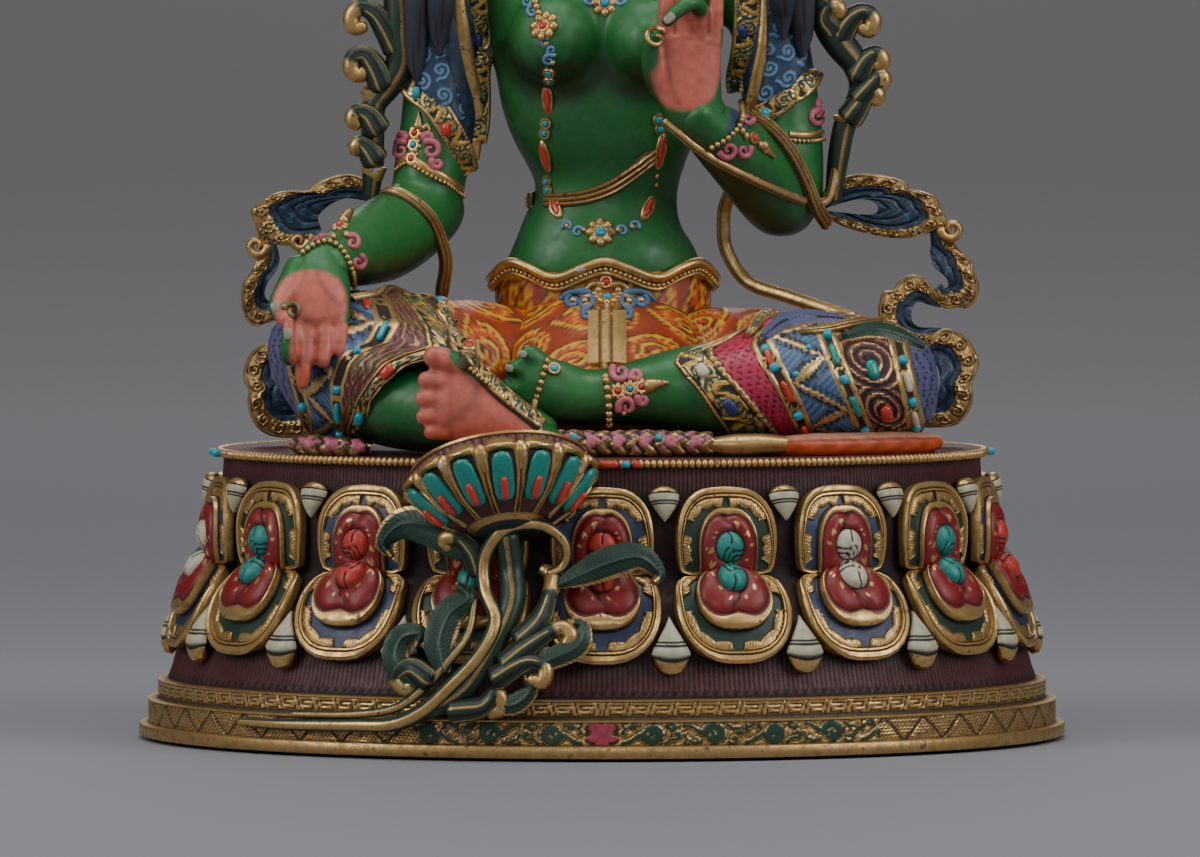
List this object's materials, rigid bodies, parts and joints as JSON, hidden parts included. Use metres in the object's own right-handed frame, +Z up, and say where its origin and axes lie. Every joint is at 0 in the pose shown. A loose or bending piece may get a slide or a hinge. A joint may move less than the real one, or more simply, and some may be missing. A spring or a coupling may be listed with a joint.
{
  "type": "tara figure",
  "caption": "Seated female deity figure in cast metal, painted and part gilded, with scarves and lotus stems beside it and the right foot on a small lotus, on an oval double-lotus plinth.",
  "frame": {"origin": "centre of the plinth's underside", "axes": "+Z is up, the figure faces -Y, and its own right side lies toward -X"},
  "size_m": [0.4, 0.3301, 0.5797],
  "materials": {
    "plinth": "dark maroon paint over cast copper with worn gilding on the petals' borders, leaves, bands and bead rim",
    "figure": "satin green paint, pink palms and sole, orange skirt with scrolls, gilded jewellery",
    "crown": "worn antique gilding with dark recesses",
    "scarf": "slate-blue paint with light dots inside a gilded scroll border",
    "stem": "dark green paint with gilded edges",
    "foot_lotus": "gilded petals with a dark red rim, green stems with gilded edges",
    "turquoise": "polished turquoise",
    "coral": "polished coral"
  },
  "bodies": {
    "root": {"plinth": "plinth", "figure": "figure", "crown": "crown", "scarf_right": "scarf", "scarf_left": "scarf", "lotus_stem_right": "stem", "lotus_stem_left": "stem", "foot_lotus": "foot_lotus", "turquoise_inlay_1": "turquoise", "turquoise_inlay_2": "turquoise", "turquoise_inlay_3": "turquoise", "turquoise_inlay_4": "turquoise", "turquoise_inlay_5": "turquoise", "turquoise_inlay_6": "turquoise", "turquoise_inlay_7": "turquoise", "coral_bar_1": "coral", "coral_bar_2": "coral", "coral_bar_3": "coral", "coral_bar_4": "coral", "coral_bar_5": "coral", "coral_bar_6": "coral", "coral_bar_7": "coral"}
  },
  "joints": []
}
